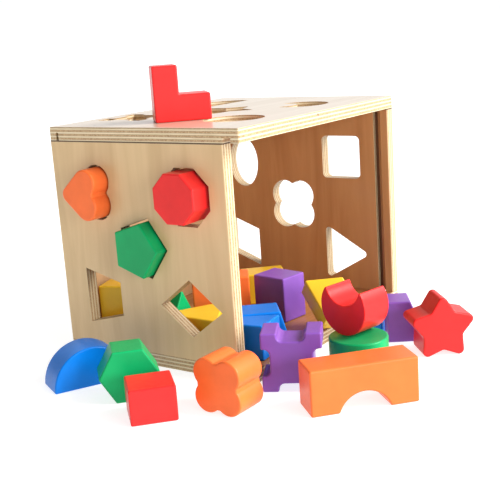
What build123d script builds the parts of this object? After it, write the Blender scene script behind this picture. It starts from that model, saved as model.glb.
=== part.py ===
from build123d import *
from math import acos, atan2, cos, degrees, radians, sin, sqrt
import os

# A wooden shape-sorting box with loose painted blocks, millimetres, +Z up.
# Origin: centre of the underside of the box, on the table. The open front
# faces -Y, the panel with the blocks pushed into it faces -X.

# ---- carcass ---------------------------------------------------------------
width = 187.0
depth = 148.6
height = 150.0
ply = 8.5
ease = 1.0

half_w = width / 2
half_d = depth / 2
inner_w = half_w - ply
inner_top = height - ply

# front track for the sliding door
track_back = -63.1
track_width = 5.4
track_depth = 3.2
track_mid = track_back - track_width / 2
left_front = -62.5

# saw kerf for the thin back
kerf_front = 66.4
kerf_width = 2.2
kerf_depth = 4.8
back_thick = 2.0
back_grip = 4.0
side_grip = 3.0

# door
door_thick = 4.6
door_width = 180.0
door_height = inner_top - ply + 2 * (track_depth - 0.4)

# dowels that pin the top and bottom to the sides
dowel_dia = 5.0
dowel_length = 15.0
dowel_in_sheet = 6.0

# ---- blocks ----------------------------------------------------------------
block = 22.0
soft = 1.1
slack = 1.5
poke = 8.0
far_poke = 12.0

octagon_flats = 30.0
octagon_slack = 2.5
octagon_rise = 0.9
pentagon_radius = 18.2
heart_lobe = 8.7
heart_spread = 7.3
heart_point = 5.0
heart_tip = 14.0
trapezoid_long = 32.5
trapezoid_short = 19.5
trapezoid_height = 26.0
rhombus_wide = 42.0
rhombus_tall = 32.0

square_side = 28.0
square_block_side = 26.0
square_thick = 20.3
clover_half = 15.7
clover_lobe = 8.7
clover_valley = 13.5
clover_slack = 2.4
triangle_radius = 21.0
triangle_round = 1.2
ellipse_long = 17.6
ellipse_short = 11.7
slant_side = 26.0
slant_width = 24.0
slant_angle = 20.0

disc_radius = 17.7
hexagon_side = 17.6
star_radius = 22.6
star_waist = 13.0
crescent_radius = 17.2
crescent_bite = 13.0
crescent_offset = 14.0
notched_side = 35.0
notched_slack = 0.8
notch_width = 16.0
notch_depth = 5.0
notch_round = 3.6
half_disc_radius = 24.3
ell_width = 34.9
ell_height = 34.2
ell_upright = 15.7
ell_foot = 16.4
arch_width = 61.5
arch_height = 26.0
arch_radius = 15.2
arch_drop = 4.6
slope_long = 26.0
slope_short = 15.0
slope_height = 26.8
lying_radius = 25.5

# ---- where the holes sit: left panel (y, z), right panel (y, z), top (x, y)
octagon_at = (-33.1, 109.2)
heart_at = (37.2, 109.2)
pentagon_at = (4.3, 75.9)
trapezoid_at = (39.9, 41.0)
rhombus_at = (-30.3, 41.0)

ellipse_at = (51.4, 101.0)
square_at = (-35.6, 106.6)
clover_at = (7.6, 69.8)
triangle_at = (-32.2, 34.9)
slant_at = (54.5, 38.3)

disc_at = (-46.8, -37.8)
crescent_at = (36.0, -34.5)
star_at = (0.7, 7.0)
half_disc_at = (46.0, 35.5)
notched_at = (-41.0, 46.0)

os.makedirs("parts", exist_ok=True)


def save(builder, label):
    builder.part.label = label
    export_step(builder.part, "parts/" + label + ".step")


def upright(x, y, z, turn, roll=0.0):
    """Plane of a block standing on edge: its face looks towards -Y at turn 0."""
    level = cos(radians(roll))
    across = (level * cos(radians(turn)), level * sin(radians(turn)), sin(radians(roll)))
    facing = (sin(radians(turn)), -cos(radians(turn)), 0)
    return Plane(origin=(x, y, z), x_dir=across, z_dir=facing)


def flat(x, y, z, turn=0.0):
    """Plane of a block lying on its face."""
    across = (cos(radians(turn)), sin(radians(turn)), 0)
    return Plane(origin=(x, y, z), x_dir=across, z_dir=(0, 0, 1))


def left_face(at, out=0.0):
    """Plane on the outside of the left panel; sketch x runs to the front."""
    return Plane(origin=(-half_w - out, at[0], at[1]), x_dir=(0, -1, 0), z_dir=(-1, 0, 0))


def right_face(at):
    """Plane on the inside of the right panel; sketch x runs to the front."""
    return Plane(origin=(inner_w, at[0], at[1]), x_dir=(0, -1, 0), z_dir=(-1, 0, 0))


def top_face(at, turn=0.0):
    return flat(at[0], at[1], height, turn)


# ---- outlines, each drawn about its own middle; grow widens it into a hole --
def octagon(grow=0.0):
    half_flats = octagon_flats / 2 + grow
    RegularPolygon(radius=half_flats, side_count=8, major_radius=False, rotation=22.5)


def pentagon(grow=0.0):
    RegularPolygon(radius=pentagon_radius + grow / cos(radians(36)), side_count=5)


def heart(grow=0.0):
    reach = sqrt(heart_tip**2 + heart_spread**2)
    swing = degrees(acos((heart_lobe - heart_point) / reach))
    aim = degrees(atan2(-heart_spread, -heart_tip))
    away = radians(aim - swing)
    Polygon(
        (-heart_tip + heart_point * cos(away), heart_point * sin(away)),
        (heart_lobe * cos(away), heart_spread + heart_lobe * sin(away)),
        (heart_lobe * 0.72, heart_spread),
        (heart_lobe * 0.72, -heart_spread),
        (heart_lobe * cos(away), -heart_spread - heart_lobe * sin(away)),
        (-heart_tip + heart_point * cos(away), -heart_point * sin(away)),
        align=None,
    )
    with Locations((0, heart_spread), (0, -heart_spread)):
        Circle(heart_lobe)
    with Locations((-heart_tip, 0)):
        Circle(heart_point)
    if grow:
        offset(amount=grow)


def trapezoid(grow=0.0):
    Polygon(
        (-trapezoid_height / 2, -trapezoid_long / 2),
        (-trapezoid_height / 2, trapezoid_long / 2),
        (trapezoid_height / 2, trapezoid_short / 2),
        (trapezoid_height / 2, -trapezoid_short / 2),
        align=None,
    )
    if grow:
        offset(amount=grow, kind=Kind.INTERSECTION)


def rhombus(grow=0.0):
    Polygon(
        (-rhombus_wide / 2, 0),
        (0, rhombus_tall / 2),
        (rhombus_wide / 2, 0),
        (0, -rhombus_tall / 2),
        align=None,
    )
    if grow:
        offset(amount=grow, kind=Kind.INTERSECTION)


def slanted(grow=0.0):
    rise = slant_width * sin(radians(slant_angle)) / cos(radians(slant_angle))
    Polygon(
        (slant_width / 2, slant_side / 2 - rise / 2),
        (slant_width / 2, -slant_side / 2 - rise / 2),
        (-slant_width / 2, -slant_side / 2 + rise / 2),
        (-slant_width / 2, slant_side / 2 + rise / 2),
        align=None,
    )
    if grow:
        offset(amount=grow, kind=Kind.INTERSECTION)


def square(grow=0.0):
    RectangleRounded(square_side + 2 * grow, square_side + 2 * grow, 2.0 + grow)


def clover(grow=0.0):
    reach = clover_half - clover_lobe
    Rectangle(2 * reach, 2 * clover_valley)
    Rectangle(2 * clover_valley, 2 * reach)
    with GridLocations(2 * reach, 2 * reach, 2, 2):
        Circle(clover_lobe)
    if grow:
        offset(amount=grow)


def triangle(radius, grow=0.0):
    RegularPolygon(radius=radius - 2 * triangle_round, side_count=3)
    offset(amount=triangle_round + grow)


def ellipse(grow=0.0):
    Ellipse(ellipse_short + grow, ellipse_long + grow)


def disc(grow=0.0):
    Circle(disc_radius + grow)


def hexagon():
    RegularPolygon(radius=hexagon_side, side_count=6)


def star(grow=0.0):
    points = []
    for tip in range(10):
        reach = star_radius if tip % 2 == 0 else star_waist
        bearing = radians(90 + 36 * tip)
        points.append((reach * cos(bearing), reach * sin(bearing)))
    Polygon(*points, align=None)
    if grow:
        offset(amount=grow)


def crescent(grow=0.0):
    Circle(crescent_radius)
    with Locations((0, crescent_offset)):
        Circle(crescent_bite, mode=Mode.SUBTRACT)
    if grow:
        offset(amount=grow)


def notched(grow=0.0):
    Rectangle(notched_side, notched_side)
    with PolarLocations(notched_side / 2, 4):
        RectangleRounded(2 * notch_depth, notch_width, notch_round, mode=Mode.SUBTRACT)
    if grow:
        offset(amount=grow)


def half_disc(grow=0.0):
    Circle(half_disc_radius)
    with Locations((0, -half_disc_radius / 2)):
        Rectangle(2 * half_disc_radius, half_disc_radius, mode=Mode.SUBTRACT)
    if grow:
        offset(amount=grow, kind=Kind.INTERSECTION)


def ell():
    Polygon(
        (-ell_width / 2, 0),
        (-ell_width / 2, ell_height),
        (-ell_width / 2 + ell_upright, ell_height),
        (-ell_width / 2 + ell_upright, ell_foot),
        (ell_width / 2, ell_foot),
        (ell_width / 2, 0),
        align=None,
    )


def arch():
    with Locations((0, arch_height / 2)):
        Rectangle(arch_width, arch_height)
    with Locations((0, -arch_drop)):
        Circle(arch_radius, mode=Mode.SUBTRACT)


# ---- the carcass -----------------------------------------------------------
with BuildPart() as top_panel:
    with Locations((0, 0, height - ply / 2)):
        Box(width, depth, ply)
    fillet(top_panel.edges().filter_by(Axis.Z), 1.2)
    fillet(top_panel.faces().sort_by(Axis.Z)[-1].edges(), ease)
    with BuildSketch(Plane.XY.offset(inner_top)):
        with Locations((0, track_mid)):
            Rectangle(width, track_width)
    extrude(amount=track_depth, mode=Mode.SUBTRACT)
    with BuildSketch(Plane.XY.offset(inner_top)):
        with Locations((0, kerf_front + kerf_width / 2)):
            Rectangle(width, kerf_width)
    extrude(amount=kerf_depth, mode=Mode.SUBTRACT)
    for outline, at, turn, gap in (
        (disc, disc_at, 0, slack),
        (crescent, crescent_at, 25, slack),
        (star, star_at, 40.8, slack),
        (half_disc, half_disc_at, 0, slack),
        (notched, notched_at, 0, notched_slack),
    ):
        with BuildSketch(top_face(at, turn)):
            outline(gap)
        extrude(amount=-ply, mode=Mode.SUBTRACT)
    with Locations(
        *[(side * (half_w - ply / 2), y, inner_top) for side in (-1, 1) for y in (-40, 40)]
    ):
        Cylinder(dowel_dia / 2, 2 * dowel_in_sheet, mode=Mode.SUBTRACT)
save(top_panel, "top_panel")

with BuildPart() as bottom_panel:
    with Locations((0, 0, ply / 2)):
        Box(width, depth, ply)
    fillet(bottom_panel.edges().filter_by(Axis.Z), 1.2)
    with BuildSketch(Plane.XY.offset(ply)):
        with Locations((0, track_mid)):
            Rectangle(width, track_width)
        with Locations((0, kerf_front + kerf_width / 2)):
            Rectangle(width, kerf_width)
    extrude(amount=-track_depth, mode=Mode.SUBTRACT)
    with BuildSketch(Plane.XY.offset(ply)):
        with Locations((0, kerf_front + kerf_width / 2)):
            Rectangle(width, kerf_width)
    extrude(amount=-kerf_depth, mode=Mode.SUBTRACT)
    with Locations(
        *[(side * (half_w - ply / 2), y, ply) for side in (-1, 1) for y in (-40, 40)]
    ):
        Cylinder(dowel_dia / 2, 2 * dowel_in_sheet, mode=Mode.SUBTRACT)
save(bottom_panel, "bottom_panel")

side_rise = inner_top - ply
with BuildPart() as left_panel:
    left_long = half_d - left_front
    with Locations((-half_w + ply / 2, left_front + left_long / 2, height / 2)):
        Box(ply, left_long, side_rise)
    fillet(left_panel.edges().filter_by(Axis.Z), 1.0)
    with Locations((-inner_w, kerf_front + kerf_width / 2, height / 2)):
        Box(2 * side_grip + 0.4, kerf_width, side_rise, mode=Mode.SUBTRACT)
    for outline, at, gap in (
        (octagon, octagon_at, octagon_slack),
        (pentagon, pentagon_at, slack),
        (heart, heart_at, slack),
        (trapezoid, trapezoid_at, slack),
        (rhombus, rhombus_at, slack),
    ):
        with BuildSketch(left_face(at)):
            outline(gap)
        extrude(amount=-ply, mode=Mode.SUBTRACT)
    with Locations(
        *[(-half_w + ply / 2, y, z) for y in (-40, 40) for z in (ply, inner_top)]
    ):
        Cylinder(dowel_dia / 2, 2 * (dowel_length - dowel_in_sheet), mode=Mode.SUBTRACT)
save(left_panel, "left_panel")

with BuildPart() as right_panel:
    with Locations((half_w - ply / 2, 0, height / 2)):
        Box(ply, depth, side_rise)
    fillet(right_panel.edges().filter_by(Axis.Z), 1.0)
    with Locations((inner_w, kerf_front + kerf_width / 2, height / 2)):
        Box(2 * side_grip + 0.4, kerf_width, side_rise, mode=Mode.SUBTRACT)
    with Locations((inner_w, track_mid, height / 2)):
        Box(2 * track_depth, track_width, side_rise, mode=Mode.SUBTRACT)
    for outline, at, gap in (
        (square, square_at, slack),
        (clover, clover_at, clover_slack),
        (ellipse, ellipse_at, slack),
        (slanted, slant_at, slack),
    ):
        with BuildSketch(right_face(at)):
            outline(gap)
        extrude(amount=-ply, mode=Mode.SUBTRACT)
    with BuildSketch(right_face(triangle_at)):
        triangle(triangle_radius, slack)
    extrude(amount=-ply, mode=Mode.SUBTRACT)
    with Locations(
        *[(half_w - ply / 2, y, z) for y in (-40, 40) for z in (ply, inner_top)]
    ):
        Cylinder(dowel_dia / 2, 2 * (dowel_length - dowel_in_sheet), mode=Mode.SUBTRACT)
save(right_panel, "right_panel")

# the thin back sits in the kerfs of all four panels
with BuildPart() as back_panel:
    with Locations((0, kerf_front + kerf_width / 2, height / 2)):
        Box(2 * (inner_w + side_grip), back_thick, side_rise + 2 * back_grip)
save(back_panel, "back_panel")

with BuildPart() as dowels:
    top_seat = inner_top - dowel_length / 2 + dowel_in_sheet
    bottom_seat = ply + dowel_length / 2 - dowel_in_sheet
    with Locations(
        *[
            (side * (half_w - ply / 2), y, z)
            for side in (-1, 1)
            for y in (-40, 40)
            for z in (bottom_seat, top_seat)
        ]
    ):
        Cylinder(dowel_dia / 2, dowel_length)
save(dowels, "joint_dowels")

# the door, taken out and stood against the back of the box
with BuildPart() as door:
    with Locations((15, half_d + 12, door_height / 2)):
        Box(door_width, door_thick, door_height)
    fillet(door.edges().filter_by(Axis.Y), 1.5)
save(door, "sliding_door")


# ---- blocks pushed part way through the left panel -------------------------
with BuildPart() as heart_block:
    with BuildSketch(left_face(heart_at, far_poke)):
        heart()
    extrude(amount=-block)
    fillet(heart_block.faces().filter_by(Axis.X).edges(), soft)
save(heart_block, "orange_heart")

with BuildPart() as octagon_block:
    with BuildSketch(left_face((octagon_at[0], octagon_at[1] + octagon_rise), far_poke)):
        octagon()
    extrude(amount=-block)
    fillet(octagon_block.edges(), soft)
save(octagon_block, "red_octagon")

with BuildPart() as pentagon_block:
    with BuildSketch(left_face(pentagon_at, poke)):
        pentagon()
    extrude(amount=-block)
    fillet(pentagon_block.edges(), soft)
save(pentagon_block, "green_pentagon")

# ---- block on the lid ------------------------------------------------------
with BuildPart() as ell_block:
    with BuildSketch(upright(-62.0, -11.3, height, -45.1)):
        ell()
    extrude(amount=-block)
    fillet(ell_block.edges(), soft)
save(ell_block, "red_ell")

# ---- blocks on the table ---------------------------------------------------
with BuildPart() as half_disc_block:
    with BuildSketch(upright(-136.9, 13.5, 0, -27.3)):
        half_disc()
    extrude(amount=-block)
    fillet(half_disc_block.edges(), soft)
save(half_disc_block, "blue_half_disc")

with BuildPart() as hexagon_block:
    with BuildSketch(upright(-146.2, -24.9, hexagon_side * cos(radians(30)), -43.4)):
        hexagon()
    extrude(amount=-block)
    fillet(hexagon_block.edges(), soft)
save(hexagon_block, "green_hexagon")

with BuildPart() as square_block:
    with BuildSketch(upright(-164.6, -57.6, square_thick / 2, -43)):
        Rectangle(square_block_side, square_thick)
    extrude(amount=-square_block_side)
    fillet(square_block.edges(), soft)
save(square_block, "red_square")

with BuildPart() as clover_block:
    with BuildSketch(upright(-139.6, -81.2, clover_half, -90.9)):
        clover()
    extrude(amount=-block)
    fillet(clover_block.edges(), soft)
save(clover_block, "orange_clover")

with BuildPart() as notched_block:
    with BuildSketch(upright(-94.0, -100.7, notched_side / 2, -61.8)):
        notched()
    extrude(amount=-block)
    fillet(notched_block.edges(), soft)
save(notched_block, "purple_notched_square")

with BuildPart() as arch_block:
    with BuildSketch(upright(-98.6, -150.0, 0, -41.7)):
        arch()
    extrude(amount=-block)
    fillet(arch_block.edges(), soft)
save(arch_block, "orange_arch")

star_round = 3.1
tip_half = atan2(star_waist * sin(radians(36)), star_radius - star_waist * cos(radians(36)))
star_foot = (star_radius - star_round / sin(tip_half)) * cos(radians(36)) + star_round
with BuildPart() as star_block:
    with BuildSketch(upright(-3.6, -153.0, star_foot, -47.7)) as star_sketch:
        star()
        fillet(star_sketch.vertices(), star_round)
    extrude(amount=-block)
    fillet(star_block.faces().filter_by(GeomType.PLANE).sort_by(SortBy.AREA)[-2:].edges(), soft)
save(star_block, "red_star")

with BuildPart() as disc_block:
    with BuildSketch(flat(-47.2, -118.1, 0)):
        disc()
    extrude(amount=block)
    fillet(disc_block.edges(), soft)
save(disc_block, "green_disc")

with BuildPart() as crescent_block:
    with BuildSketch(upright(-52.1, -110.9, block + crescent_radius + 0.35, -102.1)) as bitten:
        crescent()
        fillet(bitten.vertices(), 0.9)
    extrude(amount=-block)
    fillet(crescent_block.faces().filter_by(GeomType.PLANE).edges(), 0.7)
save(crescent_block, "red_crescent")

with BuildPart() as trapezoid_block:
    with BuildSketch(upright(4.0, -111.1, 0, -57.1)):
        Polygon(
            (0, 0),
            (slope_long, 0),
            (slope_short, slope_height),
            (0, slope_height),
            align=None,
        )
    extrude(amount=-block)
    fillet(trapezoid_block.edges(), soft)
save(trapezoid_block, "purple_trapezoid")

with BuildPart() as blue_outside:
    with BuildSketch(flat(34.0, -87.6, 0)):
        Rectangle(28, 21.5)
    extrude(amount=17)
    fillet(blue_outside.edges(), soft)
save(blue_outside, "blue_brick")

# ---- blocks tipped out inside the box --------------------------------------
with BuildPart() as wedge_block:
    with BuildSketch(flat(-78.0, -70.4, ply, 7.7)):
        Polygon((0, 0), (25.6, 0), (15.4, 21.5), (0, 21.5), align=None)
    extrude(amount=block)
    fillet(wedge_block.edges(), soft)
save(wedge_block, "blue_wedge")

with BuildPart() as sloped_block:
    with BuildSketch(upright(-49.4, -65.1, ply, -50)):
        Polygon((-32, 0), (6, 0), (0, 22.3), (-26, 22.3), align=None)
    extrude(amount=-block)
    fillet(sloped_block.edges(), soft)
save(sloped_block, "blue_trapezoid")

with BuildPart() as rectangle_block:
    with BuildSketch(flat(3.3, -29.9, ply, -7.2)):
        Rectangle(22.4, 26.5)
    extrude(amount=30.5)
    fillet(rectangle_block.edges(), soft)
save(rectangle_block, "purple_rectangle")

lean_across = (0.667, -0.745, 0)
lean_facing = (-0.617, -0.552, 0.561)
with BuildPart() as slanted_block:
    with BuildSketch(Plane(origin=(-22.4, -66.7, 44.2), x_dir=lean_across, z_dir=lean_facing)):
        Polygon((0, 0), (25, 0), (35, -27), (10, -27), align=None)
    extrude(amount=-block)
    fillet(slanted_block.edges(), soft)
save(slanted_block, "yellow_parallelogram")

with BuildPart() as triangle_block:
    with BuildSketch(upright(-58.5, 4.6, ply + triangle_radius / 2, 0, 90)):
        triangle(triangle_radius)
    extrude(amount=-block)
    fillet(triangle_block.edges(), soft)
save(triangle_block, "green_triangle")

with BuildPart() as orange_inside:
    with BuildSketch(flat(-15.7, 5.6, ply, -53.1)):
        Rectangle(39, 21.5)
    extrude(amount=31)
    fillet(orange_inside.edges(), soft)
save(orange_inside, "orange_rectangle")

with BuildPart() as lying_triangle:
    with BuildSketch(flat(-68.0, -17.2, ply)):
        triangle(lying_radius)
    extrude(amount=block)
    fillet(lying_triangle.edges(), soft)
save(lying_triangle, "yellow_triangle")

with BuildPart() as yellow_back:
    with BuildSketch(flat(-68.4, 48.0, ply, 18)):
        Rectangle(21.5, 25)
    extrude(amount=35)
    fillet(yellow_back.edges(), soft)
save(yellow_back, "yellow_rectangle")

with BuildPart() as yellow_far:
    with BuildSketch(flat(33.0, 4.0, ply, -48)):
        Rectangle(31, 22)
    extrude(amount=22)
    fillet(yellow_far.edges(), soft)
save(yellow_far, "yellow_brick")
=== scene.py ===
import math

import bpy
from mathutils import Matrix, Vector

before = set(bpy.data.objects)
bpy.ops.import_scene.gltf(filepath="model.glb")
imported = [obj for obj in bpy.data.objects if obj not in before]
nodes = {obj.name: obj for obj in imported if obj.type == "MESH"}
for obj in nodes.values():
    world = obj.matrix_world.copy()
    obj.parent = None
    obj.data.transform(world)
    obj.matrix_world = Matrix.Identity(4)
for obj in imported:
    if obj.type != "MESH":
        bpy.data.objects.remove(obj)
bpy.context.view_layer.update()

# the box's driving sizes, in metres
PLY = 0.0085
HALF_W = 0.0935
HALF_D = 0.0743
HEIGHT = 0.150

PLIES = 7
SKIN = 0.002  # a groove's floor lies deeper than this in its sheet
FRONT = -0.073  # just behind the front edges of the lid, the bottom and the right panel
LEFT_FRONT = -0.061  # the left panel stops short of the door's track
GROOVE_FROM = -0.0652  # the shaded half of the door groove starts here along Y


# ---------------------------------------------------------------- node helpers
class Graph:
    """A small shorthand for building one material's node tree."""

    def __init__(self, name):
        self.material = bpy.data.materials.new(name)
        self.material.use_nodes = True
        self.tree = self.material.node_tree
        self.tree.nodes.clear()

    def put(self, socket, value):
        """Link value to the socket if it is a socket too, else set it there."""
        if isinstance(value, bpy.types.NodeSocket):
            self.tree.links.new(value, socket)
        elif socket.type == "RGBA":
            socket.default_value = (*value[:3], 1)
        else:
            socket.default_value = value

    def add(self, kind, inputs=None, **settings):
        node = self.tree.nodes.new(kind)
        for key, value in settings.items():
            setattr(node, key, value)
        for key, value in (inputs or {}).items():
            self.put(node.inputs[key], value)
        return node

    def math(self, operation, a, b=0.0, c=0.0):
        return self.add("ShaderNodeMath", {0: a, 1: b, 2: c}, operation=operation).outputs[0]

    def split(self, vector):
        """The X, Y and Z of a vector, by name."""
        return dict(zip("XYZ", self.add("ShaderNodeSeparateXYZ", {0: vector}).outputs))

    def between(self, value, start, stop):
        """1 where value lies between start and stop, else 0."""
        above = self.math("GREATER_THAN", value, start)
        return self.math("MULTIPLY", above, self.math("LESS_THAN", value, stop))

    def ramp(self, fac, stops):
        node = self.add("ShaderNodeValToRGB", {0: fac})
        elements = node.color_ramp.elements
        while len(elements) < len(stops):
            elements.new(0.5)
        for element, (place, colour) in zip(elements, stops):
            element.position = place
            element.color = (*colour[:3], 1)
        return node.outputs[0]

    def mix(self, fac, a, b):
        return self.add("ShaderNodeMix", {0: fac, 6: a, 7: b}, data_type="RGBA").outputs[2]

    def stain(self, colour, mask, amount, tint):
        """Colour with an amount of tint over it where mask is 1."""
        return self.mix(self.math("MULTIPLY", mask, amount), colour, tint)

    def noise(self, vector, scale, detail=3.0, rough=0.5, distortion=0.0):
        inputs = {
            "Vector": vector,
            "Scale": scale,
            "Detail": detail,
            "Roughness": rough,
            "Distortion": distortion,
        }
        return self.add("ShaderNodeTexNoise", inputs).outputs["Fac"]

    def mapping(self, vector, scale, location=(0, 0, 0)):
        inputs = {"Vector": vector, "Scale": scale, "Location": location}
        return self.add("ShaderNodeMapping", inputs).outputs[0]

    def place(self):
        return self.add("ShaderNodeTexCoord").outputs["Object"]

    def finish(self, colour, roughness, bump=None, bump_strength=0.2, distance=0.0005, **extra):
        """Join everything to one Principled shader; extra names its other sockets."""
        inputs = {"Base Color": colour, "Roughness": roughness}
        inputs.update({key.replace("_", " "): value for key, value in extra.items()})
        if bump is not None:
            relief = {"Strength": bump_strength, "Distance": distance, "Height": bump}
            inputs["Normal"] = self.add("ShaderNodeBump", relief).outputs[0]
        shader = self.add("ShaderNodeBsdfPrincipled", inputs)
        self.add("ShaderNodeOutputMaterial", {"Surface": shader.outputs[0]})
        return self.material


def linear(r, g, b):
    """sRGB 0-255 to linear."""
    out = []
    for value in (r, g, b):
        v = value / 255
        out.append(v / 12.92 if v <= 0.04045 else ((v + 0.055) / 1.055) ** 2.4)
    return tuple(out)


def times(colour, factor):
    """A colour made lighter or darker."""
    return tuple(min(1.0, c * factor) for c in colour)


def along(axis, lengthwise, across):
    """A texture's scale: lengthwise on one axis and across on the other two."""
    return [lengthwise if name == axis else across for name in "XYZ"]


# ------------------------------------------------------------------- materials
# the lid's top tone is paler and greyer than the side tone: painted sheen of the light on the
# lid
SHEEN_TOP = (linear(202, 186, 166), linear(184, 163, 138))
SIDE = (linear(216, 186, 139), linear(198, 165, 119))
# the inner tone of the sheets is darker: painted shade inside the box
SHADED_INNER = (linear(196, 145, 96), linear(172, 118, 72))
# the box floor's inner tone is darker still: painted shade inside the box
SHADED_FLOOR = (linear(176, 118, 68), linear(106, 64, 32))
LIGHT_PLY = (linear(208, 188, 148), linear(224, 207, 172))
DARK_PLY = (linear(160, 126, 84), linear(196, 166, 122))
GLUE = linear(104, 68, 38)
# painted shade on the walls of holes and grooves
HOLE_SHADE = linear(58, 32, 16)
# painted shade in the seam just under the lid
SHADE_UNDER_LID = linear(60, 36, 20)
# painted shade on the floor of the door groove
GROOVE_SHADE = linear(62, 26, 10)
KNOT = linear(96, 58, 30)

# where each small dark knot is, and its radius
KNOTS = (((-0.0839, 0.0432, HEIGHT), 0.0013), ((-0.0082, -HALF_D, 0.1479), 0.0012))


def veneer(g, place, grain_axis, tones, seed):
    """The faces of a sheet: long figure along the grain with fine pores."""
    long_scale = along(grain_axis, 2.6, 26.0)
    figure = g.noise(
        g.mapping(place, long_scale, (seed, seed * 1.7, seed * 0.6)), 1.6, 5.0, 0.55, 0.9
    )
    fine_scale = along(grain_axis, 24.0, 900.0)
    pores = g.noise(g.mapping(place, fine_scale, (seed * 2.1, seed, seed)), 0.55, 3.0, 0.6)
    cloud = g.noise(g.mapping(place, (9, 9, 9), (seed, 0, seed)), 1.0)
    tone = g.math("MULTIPLY_ADD", figure, 0.75, g.math("MULTIPLY", cloud, 0.25))
    faces = []
    for light, dark in tones:
        face = g.ramp(tone, [(0.30, dark), (0.52, light), (0.78, dark)])
        faces.append(g.stain(face, pores, 0.22, times(dark, 0.8)))
    return faces, figure, pores


def edge_plies(g, place, layer_axis, level, speckle, seed):
    """The edges of a sheet: light plies with dark end-grain ones between them.

    level runs from 0 to 1 through the sheet.
    """
    wobble = g.noise(g.mapping(place, (14, 14, 14), (0, seed, 0)), 1.0, 2.0)
    wobble = g.math("MULTIPLY", g.math("SUBTRACT", wobble, 0.5), 0.045)
    cycle = g.math("MULTIPLY", g.math("ADD", level, wobble), PLIES / 2)
    wave = g.math("FRACT", g.math("ADD", cycle, 0.25))
    is_dark = g.math("GREATER_THAN", wave, 0.5)
    within_ply = g.math("FRACT", g.math("MULTIPLY", wave, 2.0))
    from_middle = g.math("ABSOLUTE", g.math("SUBTRACT", within_ply, 0.5))
    glue_line = g.math("GREATER_THAN", from_middle, 0.44)
    streak_scale = along(layer_axis, 1400.0, 60.0)
    streaks = g.noise(g.mapping(place, streak_scale, (seed, 3, 1)), 1.0, 3.0, 0.6)
    light = g.ramp(streaks, [(0.3, LIGHT_PLY[0]), (0.65, LIGHT_PLY[1])])
    dark = g.ramp(speckle, [(0.35, DARK_PLY[0]), (0.65, DARK_PLY[1])])
    return g.stain(g.mix(is_dark, light, dark), glue_line, 0.72, GLUE), is_dark


def facing(g, axis):
    """How squarely the surface faces along an axis, from -1 to 1."""
    normal = g.add("ShaderNodeNewGeometry").outputs["Normal"]
    turned = g.add(
        "ShaderNodeVectorTransform",
        {0: normal},
        vector_type="NORMAL",
        convert_from="WORLD",
        convert_to="OBJECT",
    )
    return g.split(turned.outputs[0])[axis]


def hole_walls(g, spot, layer_axis, is_face, front):
    """1 on an edge that lies inside its sheet, so on the wall of a hole or groove."""
    rims = {
        "X": (-HALF_W + 0.0015, HALF_W - 0.0015),
        "Y": (front, HALF_D - 0.0018),
        "Z": (PLY + 0.002, HEIGHT - PLY - 0.002),
    }
    within = g.math("SUBTRACT", 1.0, is_face)
    for axis, (start, stop) in rims.items():
        if axis != layer_axis:
            within = g.math("MULTIPLY", within, g.between(spot[axis], start, stop))
    return within


def plywood(
    name,
    layer_axis,
    low,
    grain_axis,
    outer,
    inner,
    inward,
    seed,
    inside,
    front,
    coat=0.15,
    groove_from=None,
    knots=(),
):
    """Birch plywood: veneered faces across layer_axis, striped plies on its edges.

    low is where the sheet starts along layer_axis and grain_axis the way the
    face grain runs. outer and inner are the light and dark tones of the two
    faces, and inward is the sign of the inner face's normal; the inner tones are
    painted shade inside the box. inside is how much painted shade darkens the
    walls of its holes and grooves, and front is where the sheet's front edge ends
    along Y. groove_from is where painted shade on a groove's floor starts along Y.
    """
    g = Graph(name)
    place = g.place()
    spot = g.split(place)
    depth = g.math("SUBTRACT", spot[layer_axis], low)
    speckle = g.noise(g.mapping(place, (900, 900, 900)), 1.0, 2.0, 0.6)
    faces, figure, pores = veneer(g, place, grain_axis, (outer, inner), seed)
    level = g.math("DIVIDE", depth, PLY)
    edge, is_dark = edge_plies(g, place, layer_axis, level, speckle, seed)

    # the face veneer shows where the surface faces along layer_axis
    toward = facing(g, layer_axis)
    is_inner = g.math("GREATER_THAN", g.math("MULTIPLY", toward, inward), 0.0)
    is_face = g.math("GREATER_THAN", g.math("ABSOLUTE", toward), 0.72)
    is_edge = g.math("SUBTRACT", 1.0, is_face)
    # the inner face takes the inner tones, which are painted shade inside the box
    colour = g.mix(is_face, edge, g.mix(is_inner, *faces))

    # painted shade darkens the walls of the holes and grooves
    colour = g.stain(colour, hole_walls(g, spot, layer_axis, is_face, front), inside, HOLE_SHADE)
    if layer_axis == "X":
        # painted shade in the seam just under the lid
        under_lid = g.math("GREATER_THAN", spot["Z"], HEIGHT - PLY - 0.0009)
        colour = g.stain(colour, under_lid, 0.9, SHADE_UNDER_LID)
    if groove_from is not None:
        # painted shade on the floor of the door groove
        sunk = g.math("MULTIPLY", is_face, g.between(depth, SKIN, PLY - SKIN))
        sunk = g.math("MULTIPLY", sunk, g.math("GREATER_THAN", spot["Y"], groove_from))
        colour = g.stain(colour, sunk, 0.8, GROOVE_SHADE)

    ragged = g.math("MULTIPLY", g.math("SUBTRACT", speckle, 0.5), 0.6)
    for centre, radius in knots:
        away = g.add("ShaderNodeVectorMath", {0: place, 1: centre}, operation="DISTANCE")
        radii = g.math("DIVIDE", away.outputs["Value"], radius)
        knot = g.ramp(g.math("ADD", radii, ragged), [(0.35, (1, 1, 1)), (1.0, (0, 0, 0))])
        colour = g.stain(colour, knot, 0.85, KNOT)

    bump = g.math("MULTIPLY_ADD", pores, 0.6, g.math("MULTIPLY", figure, 0.4))
    sunk_plies = g.math("MULTIPLY", g.math("MULTIPLY", is_dark, -0.5), is_edge)
    rough = g.math("MULTIPLY_ADD", pores, 0.16, 0.30)
    return g.finish(
        colour,
        g.math("ADD", rough, g.math("MULTIPLY", is_edge, 0.16)),
        g.math("ADD", bump, sunk_plies),
        bump_strength=0.22,
        distance=0.00025,
        Coat_Weight=coat,
        Coat_Roughness=0.12,
        Specular_IOR_Level=0.35,
    )


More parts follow.
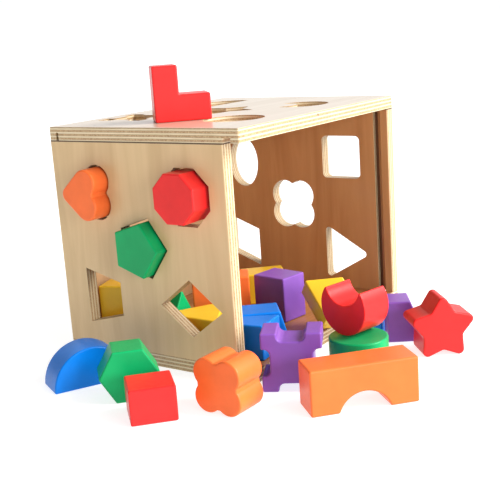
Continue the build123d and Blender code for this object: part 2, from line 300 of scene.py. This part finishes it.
def thin_sheet(name, light, dark, seed):
    """Plain wood whose grain runs along Z."""
    g = Graph(name)
    place = g.place()
    figure = g.noise(g.mapping(place, (24, 24, 2.6), (seed, 1, seed)), 1.5, 5.0, 0.55, 0.8)
    pores = g.noise(g.mapping(place, (850, 850, 22), (seed, 0, 2)), 0.5, 3.0, 0.6)
    colour = g.ramp(figure, [(0.3, dark), (0.55, light), (0.8, dark)])
    return g.finish(
        g.stain(colour, pores, 0.25, times(dark, 0.75)),
        g.math("MULTIPLY_ADD", pores, 0.2, 0.38),
        pores,
        bump_strength=0.25,
        distance=0.0003,
        Coat_Weight=0.15,
        Coat_Roughness=0.3,
    )


def paint(name, colour, seed):
    """Satin paint over wood: the brush marks and the grain show through."""
    g = Graph(name)

    # each block has its own patch of the pattern
    random = g.math("MULTIPLY", g.add("ShaderNodeObjectInfo").outputs["Random"], 3.0)
    shift = g.add("ShaderNodeCombineXYZ", {0: random, 1: random, 2: random}).outputs[0]
    moved = g.add("ShaderNodeVectorMath", {0: g.place(), 1: shift}, operation="ADD")
    space = moved.outputs[0]

    cloud = g.noise(g.mapping(space, (55, 55, 55), (seed, 0, 0)), 1.0, 3.0, 0.55)
    grain = g.noise(g.mapping(space, (700, 700, 60), (0, seed, 0)), 1.0, 3.0, 0.6)
    peel = g.noise(g.mapping(space, (420, 420, 420)), 1.0, 2.0)
    base = g.ramp(cloud, [(0.3, times(colour, 0.9)), (0.7, times(colour, 1.06))])
    rough = g.math("MULTIPLY_ADD", peel, 0.14, 0.24)
    return g.finish(
        g.stain(base, grain, 0.10, times(colour, 0.7)),
        g.math("ADD", rough, g.math("MULTIPLY", grain, 0.06)),
        g.math("MULTIPLY_ADD", grain, 0.5, g.math("MULTIPLY", peel, 0.5)),
        bump_strength=0.16,
        distance=0.00022,
        Coat_Weight=0.05,
        Coat_Roughness=0.18,
        Specular_IOR_Level=0.2,
    )


wood = {
    "top_panel": plywood(
        "ply_top",
        layer_axis="Z",
        low=HEIGHT - PLY,
        grain_axis="X",
        outer=SHEEN_TOP,
        inner=SHADED_INNER,
        inward=-1.0,
        seed=3.1,
        inside=0.0,
        front=FRONT,
        coat=0.5,
        knots=KNOTS,
    ),
    "bottom_panel": plywood(
        "ply_bottom",
        layer_axis="Z",
        low=0.0,
        grain_axis="X",
        outer=SIDE,
        inner=SHADED_FLOOR,
        inward=1.0,
        seed=8.7,
        inside=0.6,
        front=FRONT,
    ),
    "left_panel": plywood(
        "ply_left",
        layer_axis="X",
        low=-HALF_W,
        grain_axis="Z",
        outer=SIDE,
        inner=SHADED_INNER,
        inward=1.0,
        seed=5.3,
        inside=0.45,
        front=LEFT_FRONT,
    ),
    "right_panel": plywood(
        "ply_right",
        layer_axis="X",
        low=HALF_W - PLY,
        grain_axis="Z",
        outer=SIDE,
        inner=SHADED_INNER,
        inward=-1.0,
        seed=11.9,
        inside=0.3,
        front=FRONT,
        groove_from=GROOVE_FROM,
    ),
    "back_panel": thin_sheet("ply_back", linear(208, 172, 128), linear(176, 136, 92), 2.0),
    "joint_dowels": thin_sheet("dowel", linear(224, 196, 150), linear(196, 160, 112), 6.0),
    "sliding_door": thin_sheet("ply_door", linear(224, 196, 154), linear(200, 166, 120), 9.0),
}

# a block's paint is the first word of its name
paints = {
    "red": paint("paint_red", linear(228, 42, 41), 1.0),
    "orange": paint("paint_orange", linear(246, 114, 54), 2.0),
    "green": paint("paint_green", linear(8, 160, 92), 3.0),
    "blue": paint("paint_blue", linear(0, 120, 220), 4.0),
    "purple": paint("paint_purple", linear(130, 82, 174), 5.0),
    "yellow": paint("paint_yellow", linear(230, 186, 44), 6.0),
}

for name, obj in nodes.items():
    material = wood.get(name) or paints[name.split("_")[0]]
    obj.data.materials.clear()
    obj.data.materials.append(material)
    for polygon in obj.data.polygons:
        polygon.material_index = 0


# ------------------------------------------------------------------------ stage
def put_in_scene(obj):
    bpy.context.scene.collection.objects.link(obj)
    return obj


def studio_floor():
    """A pale floor bright enough to meet the backdrop without a horizon."""
    half = 60.0
    below = -0.0001
    corners = [(x * half, y * half, below) for x, y in ((-1, -1), (1, -1), (1, 1), (-1, 1))]
    mesh = bpy.data.meshes.new("floor")
    mesh.from_pydata(corners, [], [(0, 1, 2, 3)])

    g = Graph("studio_floor")
    patches = g.noise(g.mapping(g.place(), (3, 3, 3)), 1.0)
    mesh.materials.append(
        g.finish(
            g.ramp(patches, [(0.2, (0.44, 0.44, 0.44)), (0.8, (0.48, 0.48, 0.48))]),
            0.6,
            Emission_Color=(1, 1, 1, 1),
            Emission_Strength=0.78,
            Specular_IOR_Level=0.0,
        )
    )
    return put_in_scene(bpy.data.objects.new("floor", mesh))


floor = studio_floor()


def shine_along(lamp, direction):
    lamp.rotation_euler = Vector(direction).to_track_quat("-Z", "Y").to_euler()


sun_data = bpy.data.lights.new("sun", "SUN")
sun_data.energy = 4.6
sun_data.angle = math.radians(28)
sun_data.color = (1.0, 0.985, 0.96)
shine_along(put_in_scene(bpy.data.objects.new("sun", sun_data)), (-0.38, 0.80, -0.66))

front_data = bpy.data.lights.new("front", "AREA")
front_data.shape = "RECTANGLE"
front_data.size = 0.9
front_data.size_y = 0.5
front_data.energy = 15.0
front_light = put_in_scene(bpy.data.objects.new("front", front_data))
front_light.location = (-0.32, -1.4, 0.36)
shine_along(front_light, Vector((0, 0, 0.05)) - front_light.location)


def studio_sky():
    """A white world that is dim towards -X and bright towards +X."""
    world = bpy.data.worlds.new("world")
    world.use_nodes = True
    tree = world.node_tree
    direction = tree.nodes.new("ShaderNodeTexCoord")
    split = tree.nodes.new("ShaderNodeSeparateXYZ")
    strength = tree.nodes.new("ShaderNodeMapRange")
    strength.interpolation_type = "SMOOTHSTEP"
    strength.inputs["From Min"].default_value = -0.1
    strength.inputs["From Max"].default_value = 0.55
    strength.inputs["To Min"].default_value = 0.36
    strength.inputs["To Max"].default_value = 1.02
    background = tree.nodes["Background"]
    background.inputs["Color"].default_value = (1, 1, 1, 1)
    tree.links.new(direction.outputs["Generated"], split.inputs[0])
    tree.links.new(split.outputs["X"], strength.inputs["Value"])
    tree.links.new(strength.outputs[0], background.inputs["Strength"])
    return world


bpy.context.scene.world = studio_sky()

# ----------------------------------------------------------------------- camera
camera_data = bpy.data.cameras.new("camera")
camera_data.lens = 69.433
camera_data.sensor_width = 36.0
camera_data.clip_start = 0.01
camera = put_in_scene(bpy.data.objects.new("camera", camera_data))
eye = Vector((-0.5242, -0.3856, 0.2051))
right = Vector((0.568908, -0.819757, -0.065901))
down = Vector((-0.223884, -0.077271, -0.971548))
ahead = Vector((0.791340, 0.567475, -0.227490))
turn = Matrix((right, -down, -ahead)).transposed().to_4x4()
camera.matrix_world = Matrix.Translation(eye) @ turn
bpy.context.scene.camera = camera

bpy.context.scene.view_settings.view_transform = "Standard"
